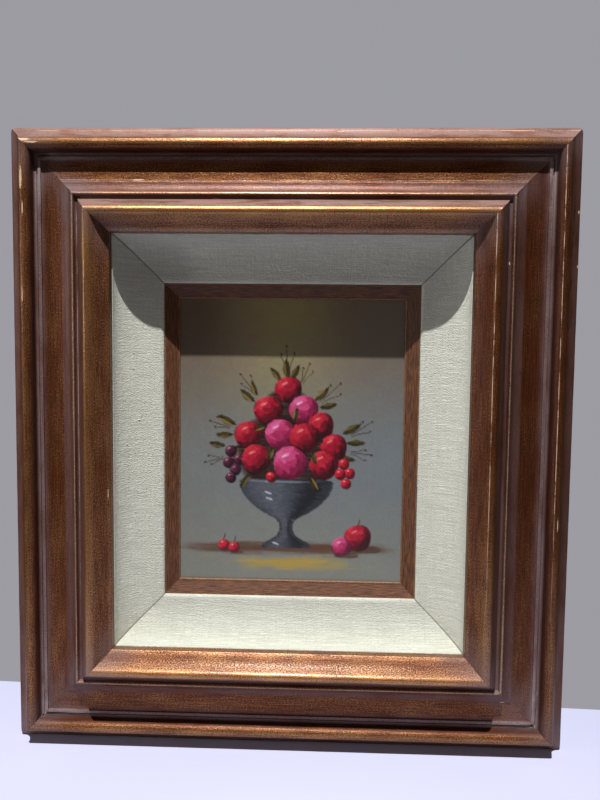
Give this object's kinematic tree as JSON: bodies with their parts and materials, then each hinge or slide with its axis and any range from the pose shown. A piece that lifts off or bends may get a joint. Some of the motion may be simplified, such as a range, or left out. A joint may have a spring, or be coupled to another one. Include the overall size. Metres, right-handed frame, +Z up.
{
  "type": "framed oil painting",
  "caption": "Small still life on stretched canvas in a deep stained and gilt wooden frame with a scooped linen liner and a narrow wooden slip, hung from the back of its top rail.",
  "frame": {"origin": "middle of the hanger's flat back, at the centre of the top rail, on the plane of the wall that it hangs on", "axes": "+X to the viewer's right, +Y into the wall, +Z up; the picture faces -Y"},
  "size_m": [0.462, 0.0741, 0.5128],
  "materials": {
    "frame_wood": "reddish-brown stain over worn gold, satin, with a grey patina in the hollows",
    "linen": "undyed linen weave with slubs, matt",
    "slip_wood": "brown stain, matt",
    "painted_canvas": "oil paint on fine canvas, soft gloss",
    "bare_pine": "bare planed pine",
    "plated_steel": "thin brass plating",
    "nail_steel": "bright nail"
  },
  "bodies": {
    "root": {"frame_top_rail": "frame_wood", "frame_right_rail": "frame_wood", "frame_bottom_rail": "frame_wood", "frame_left_rail": "frame_wood", "liner_top_rail": "linen", "liner_right_rail": "linen", "liner_bottom_rail": "linen", "liner_left_rail": "linen", "slip_top_rail": "slip_wood", "slip_right_rail": "slip_wood", "slip_bottom_rail": "slip_wood", "slip_left_rail": "slip_wood", "canvas": "painted_canvas", "stretcher_top_bar": "bare_pine", "stretcher_right_bar": "bare_pine", "stretcher_bottom_bar": "bare_pine", "stretcher_left_bar": "bare_pine", "sawtooth_hanger": "plated_steel", "hanger_nail_left": "nail_steel", "hanger_nail_right": "nail_steel"}
  },
  "joints": []
}
